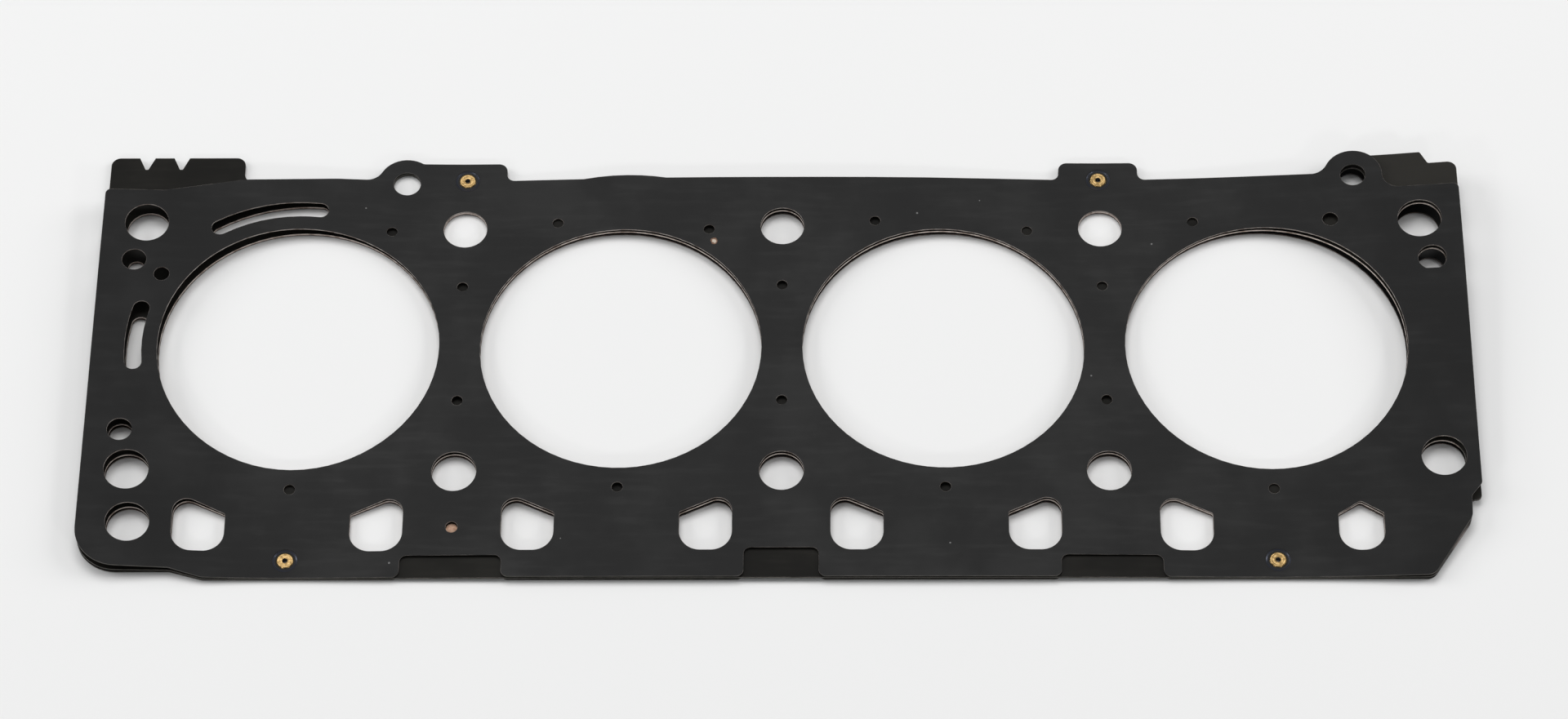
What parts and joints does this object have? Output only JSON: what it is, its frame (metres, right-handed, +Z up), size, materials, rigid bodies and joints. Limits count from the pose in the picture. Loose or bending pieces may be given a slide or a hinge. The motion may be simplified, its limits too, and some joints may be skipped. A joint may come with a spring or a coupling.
{
  "type": "cylinder head gasket",
  "caption": "Flat laminated steel gasket for an inline engine, pierced for the cylinder bores, head bolts, coolant and oil.",
  "frame": {"origin": "middle of the row of bores, on the surface the gasket lies on", "axes": "+X along the row of bores, away from the end with the marking tab; +Y across the row, towards the edge with the tabs and lobes; +Z up, through the gasket"},
  "size_m": [0.4673, 0.1678, 0.0103],
  "materials": {
    "coated_sheet": "matt black rubber film on steel",
    "carrier_sheet": "matt dark film on steel",
    "rivet": "bright, lightly tarnished",
    "button": "dull bare copper"
  },
  "bodies": {
    "root": {"upper_sheet": "coated_sheet", "middle_sheet": "carrier_sheet", "lower_sheet": "coated_sheet", "rear_left_rivet": "rivet", "rear_right_rivet": "rivet", "front_left_rivet": "rivet", "front_right_rivet": "rivet", "button": "button"}
  },
  "joints": []
}
